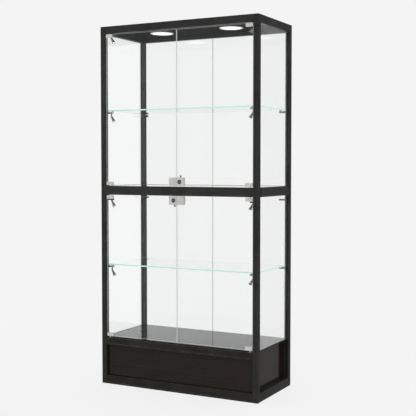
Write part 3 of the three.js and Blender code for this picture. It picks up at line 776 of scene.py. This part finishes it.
def add_downlights():
    """A white bezel and a domed diffuser in each recess. The numbers are millimetres."""
    for side in SIDES:
        node = f"downlight_{side}"
        low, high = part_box(node)
        outer = (high.x - low.x) / 2 / MM
        tall = (high.z - low.z) / MM
        at = Matrix.Translation(((low.x + high.x) / 2, (low.y + high.y) / 2, low.z))
        bezel = ring_mesh(in_mm([
            (outer - 8.5, 1.2), (outer - 7.5, 0.3), (outer - 4, 0), (outer - 1.2, 0.6), (outer, 2.2),
            (outer, 3), (outer - 6.5, 3), (outer - 6.5, tall), (outer - 8.5, tall), (outer - 8.5, 1.2)]), 96)
        bezel.transform(at)
        add_piece(f"{node}_bezel", bezel, M["white"], "case", node)
        glass = outer - 8.7
        diffuser = lathe(in_mm([(0, 1), (glass * 0.5, 1.2), (glass * 0.85, 1.6), (glass, 2.4), (glass, 4.5),
                                (0, 4.5)]), 96)
        diffuser.transform(at)
        add_piece(f"{node}_diffuser", diffuser, M["lamp"], "case")


dress_frame()
add_ceiling()
dress_base()
dress_glass()
add_arms()
dress_clips()
dress_locks()
add_spots()
add_downlights()
dress("power_inlet", M["black"], width=0.3 * MM)


# ---------- camera, floor and light ----------

STUDIO_THROUGH = (1.0, 1.0, 1.0)       # the studio as seen through glass
STUDIO_LIT = (0.80, 0.80, 0.80)        # as it lights matt surfaces
STUDIO_MIRRORED = (0.31, 0.313, 0.316)  # as glossy surfaces mirror it
STUDIO_GHOST = (0.31, 0.313, 0.316)    # its front as glass mirrors it from within
STUDIO_TONES = (WHITE, STUDIO_THROUGH, STUDIO_GHOST, STUDIO_LIT, STUDIO_MIRRORED)
GHOST_FADE = (-0.75, 0.25)             # where, along a direction's Y, the ghost tone fades out
FLOOR_TONE = 0.12
FLOOR_HALF = 60
CAMERA_AT = (1.93889, -3.58405, 1.01551)
CAMERA_TURN = (87.277, 0, 27.614)      # degrees
CAMERA_LENS = 76.3


def add_camera():
    data = bpy.data.cameras.new("camera")
    data.sensor_width = 36
    data.lens = CAMERA_LENS
    camera = bpy.data.objects.new("camera", data)
    camera.location = CAMERA_AT
    camera.rotation_euler = [math.radians(angle) for angle in CAMERA_TURN]
    bpy.context.scene.collection.objects.link(camera)
    bpy.context.scene.camera = camera


def by_ray(tree, shaders, coordinates):
    """A mix of one shader for each of the studio's tones, picked by the kind of ray. The ghost
    tone is only for the studio's front, and fades out towards its sides."""
    path = add_node(tree, "ShaderNodeLightPath")
    way = add_node(tree, "ShaderNodeVectorMath")
    way.operation = "NORMALIZE"
    join(tree, add_node(tree, "ShaderNodeTexCoord"), coordinates, way, 0)
    where = add_node(tree, "ShaderNodeSeparateXYZ")
    join(tree, way, "Vector", where, "Vector")
    full, gone = GHOST_FADE
    front = add_node(tree, "ShaderNodeMapRange", From_Min=full, From_Max=gone, To_Min=1.0, To_Max=0.0)
    front.interpolation_type = "SMOOTHSTEP"
    join(tree, where, "Y", front, "Value")
    returned = add_node(tree, "ShaderNodeMath")
    returned.operation = "MULTIPLY"
    join(tree, path, "Glossy Depth", returned, 0)
    join(tree, front, "Result", returned, 1)

    def choose(picker, output, otherwise, when):
        mix = add_node(tree, "ShaderNodeMixShader")
        join(tree, picker, output, mix, 0)
        join(tree, otherwise, 0, mix, 1)
        join(tree, when, 0, mix, 2)
        return mix

    camera, through, ghost, lit, mirrored = shaders
    behind_glass = choose(returned, "Value", through, ghost)
    mixed = choose(path, "Is Diffuse Ray", mirrored, lit)
    mixed = choose(path, "Is Transmission Ray", mixed, behind_glass)
    return choose(path, "Is Camera Ray", mixed, camera)


def add_floor():
    half = FLOOR_HALF
    mesh = bpy.data.meshes.new("floor")
    corners = [(-half, -half, 0), (half, -half, 0), (half, half, 0), (-half, half, 0)]
    mesh.from_pydata(corners, [], [(0, 1, 2, 3)])
    floor = bpy.data.objects.new("floor", mesh)
    bpy.context.scene.collection.objects.link(floor)
    material = bpy.data.materials.new("floor_pale")
    material.use_nodes = True
    tree = material.node_tree
    tree.nodes.clear()
    lit = [FLOOR_TONE * channel for channel in STUDIO_LIT]
    glows = []
    for tone in STUDIO_TONES:
        colour = [max(0.0, channel - shaded) for channel, shaded in zip(tone, lit)]
        glows.append(add_node(tree, "ShaderNodeEmission", Color=(*colour, 1)))
    glow = by_ray(tree, glows, "Object")
    matt = add_node(tree, "ShaderNodeBsdfDiffuse", Color=(FLOOR_TONE, FLOOR_TONE, FLOOR_TONE, 1))
    both = add_node(tree, "ShaderNodeAddShader")
    join(tree, glow, "Shader", both, 0)
    join(tree, matt, "BSDF", both, 1)
    output = add_node(tree, "ShaderNodeOutputMaterial")
    join(tree, both, "Shader", output, "Surface")
    mesh.materials.append(material)
    return floor


def add_softbox(name, location, target, size, power, floor):
    """A rectangular lamp that lights everything but the floor."""
    data = bpy.data.lights.new(name, "AREA")
    data.shape = "RECTANGLE"
    data.size, data.size_y = size
    data.energy = power
    lamp = bpy.data.objects.new(name, data)
    lamp.location = location
    lamp.rotation_euler = (Vector(target) - Vector(location)).to_track_quat("-Z", "Y").to_euler()
    lamp.visible_camera = lamp.visible_transmission = False
    bpy.context.scene.collection.objects.link(lamp)
    spared = bpy.data.collections.new(f"{name}_spares")
    spared.objects.link(floor)
    lamp.light_linking.receiver_collection = spared
    spared.collection_objects[0].light_linking.link_state = "EXCLUDE"


def set_world():
    """An even pale studio, set apart for the camera, for glass and for what it lights."""
    world = bpy.data.worlds.new("studio")
    bpy.context.scene.world = world
    world.use_nodes = True
    tree = world.node_tree
    tree.nodes.remove(tree.nodes["Background"])
    tones = [add_node(tree, "ShaderNodeBackground", Color=(*tone, 1)) for tone in STUDIO_TONES]
    join(tree, by_ray(tree, tones, "Generated"), "Shader", tree.nodes["World Output"], "Surface")
    world.cycles.sampling_method = "NONE"


def set_render():
    scene = bpy.context.scene
    scene.view_settings.view_transform = "Standard"
    cycles = scene.cycles
    cycles.max_bounces = 32
    cycles.transmission_bounces = 32
    cycles.transparent_max_bounces = 32
    cycles.use_denoising = True


add_camera()
FLOOR = add_floor()
add_softbox("key", (-3.6, -0.6, 1.9), (0, 0, 0.9), (1.4, 2.4), 110, FLOOR)
add_softbox("fill", (3.4, -1.8, 2.4), (0, 0, 0.9), (1.2, 2.0), 14, FLOOR)
set_world()
set_render()
